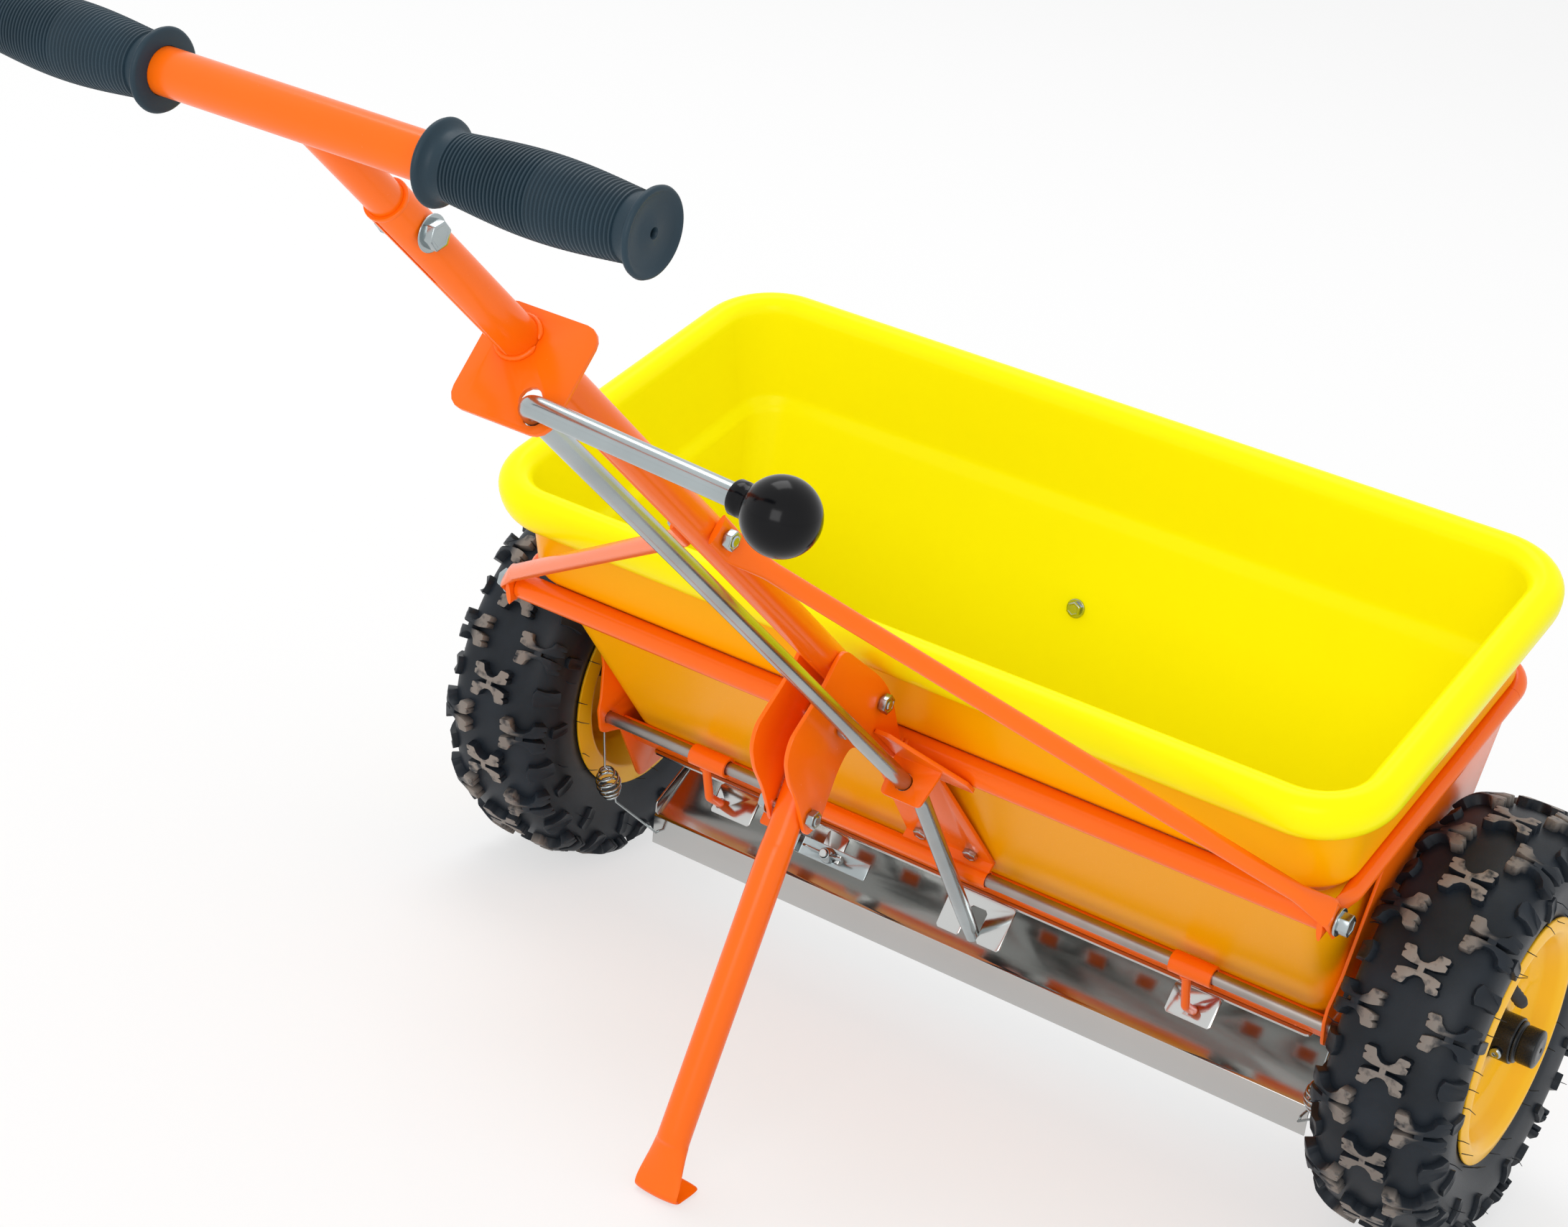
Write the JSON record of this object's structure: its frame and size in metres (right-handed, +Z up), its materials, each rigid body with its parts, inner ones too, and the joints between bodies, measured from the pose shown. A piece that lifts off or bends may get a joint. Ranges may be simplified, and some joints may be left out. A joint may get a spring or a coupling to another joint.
{
  "type": "walk-behind drop spreader",
  "caption": "Walk-behind drop spreader with a long hopper between two knobbly wheels, a lever-worked shutter, a sprung deflector tray, a stand and a T handle.",
  "frame": {"origin": "middle of the parked machine's footprint, on the ground", "axes": "+X to the operator's right along the axle, +Y the way the machine is pushed, +Z up"},
  "size_m": [0.834, 1.0137, 0.7377],
  "materials": {
    "orange_paint": "gloss orange paint",
    "hopper_yellow": "satin moulded yellow",
    "rim_yellow": "gloss yellow paint",
    "tyre": "matt rubber",
    "inner_tube": "matt rubber",
    "grip": "matt dark blue-grey",
    "black_plastic": "gloss black",
    "zinc": "bright zinc plate",
    "steel": "plain steel",
    "stainless": "bright stainless sheet",
    "nylon": "white nylon"
  },
  "bodies": {
    "frame": {"hopper": "hopper_yellow", "bottom_plate": "orange_paint", "plate_bolt": "zinc", "rear_crossbar": "orange_paint", "side_rail_left": "orange_paint", "side_rail_right": "orange_paint", "front_rail": "orange_paint", "side_plate_left": "orange_paint", "side_plate_right": "orange_paint", "centre_gusset": "orange_paint", "gusset_screw_left": "zinc", "gusset_screw_right": "zinc", "centre_bracket": "orange_paint", "front_stay": "orange_paint", "front_stay_bolt": "zinc", "handle_tube": "orange_paint", "handle_stem": "orange_paint", "t_bar": "orange_paint", "grip_left": "grip", "grip_right": "grip", "clamp_bolt": "zinc", "brace_left": "orange_paint", "brace_right": "orange_paint", "brace_bolt": "zinc", "corner_bolt_left": "zinc", "corner_bolt_right": "zinc", "gate_plate": "orange_paint", "stand_ear_left": "orange_paint", "stand_ear_right": "orange_paint", "stand_leg": "orange_paint", "stand_bolt_upper": "zinc", "stand_bolt_lower": "zinc", "handle_bolt": "zinc", "guide_shaft": "steel", "tray_pin_left": "zinc", "tray_pin_right": "zinc", "axle_bush_left": "nylon", "axle_bush_right": "nylon", "tray_spring_left": "zinc", "tray_spring_right": "zinc"},
    "drive_axle": {"axle": "steel", "agitator": "steel", "wheel_hub_right": "black_plastic", "hub_screw": "zinc", "wheel_rim_right": "rim_yellow", "tyre_right": "tyre", "inner_tube_right": "inner_tube", "hub_cap_left": "black_plastic"},
    "left_wheel": {"wheel_hub_left": "black_plastic", "wheel_rim_left": "rim_yellow", "tyre_left": "tyre", "inner_tube_left": "inner_tube"},
    "lever": {"lever_rod": "zinc", "lever_knob": "black_plastic"},
    "shutter": {"shutter_plate": "stainless", "slide_sleeve_left": "orange_paint", "slide_sleeve_right": "orange_paint"},
    "stop": {"rate_stop": "zinc"},
    "nut": {"wing_nut": "zinc"},
    "tray": {"deflector_tray": "stainless"}
  },
  "joints": [
    {"name": "drive_axle_spin", "type": "hinge", "parent": "frame", "child": "drive_axle", "pos_m": [0, 0.35259, 0.155], "axis": [1, 0, 0], "continuous": true},
    {"name": "left_wheel_spin", "type": "hinge", "parent": "drive_axle", "child": "left_wheel", "pos_m": [0, 0.35259, 0.155], "axis": [1, 0, 0], "continuous": true},
    {"name": "lever_turn", "type": "hinge", "parent": "frame", "child": "lever", "pos_m": [0.03, -0.33293, 0.57164], "axis": [0, 0.8265, -0.5629], "range_deg": [0, 24.06]},
    {"name": "shutter_slide", "type": "slide", "parent": "frame", "child": "shutter", "axis": [-1, 0, 0], "range_m": [0, 0.01525]},
    {"name": "rate_stop_slide", "type": "slide", "parent": "shutter", "child": "stop", "axis": [-1, 0, 0], "range_m": [0, 0.01]},
    {"name": "wing_nut_turn", "type": "hinge", "parent": "shutter", "child": "nut", "pos_m": [-0.1075, 0.2971, 0.10328], "axis": [0, -0.8767, 0.4811], "range_deg": [-180, 180]},
    {"name": "tray_swing", "type": "hinge", "parent": "frame", "child": "tray", "pos_m": [0, 0.43005, 0.13548], "axis": [1, 0, 0], "range_deg": [0, 11.4], "stiffness_Nm_per_rad": 8, "springref_deg": -11.46, "deforming": ["tray_spring_left", "tray_spring_right"]}
  ],
  "couplings": [
    {"joint": "shutter_slide", "follows": "lever_turn", "m_per_rad": 0.036271}
  ]
}
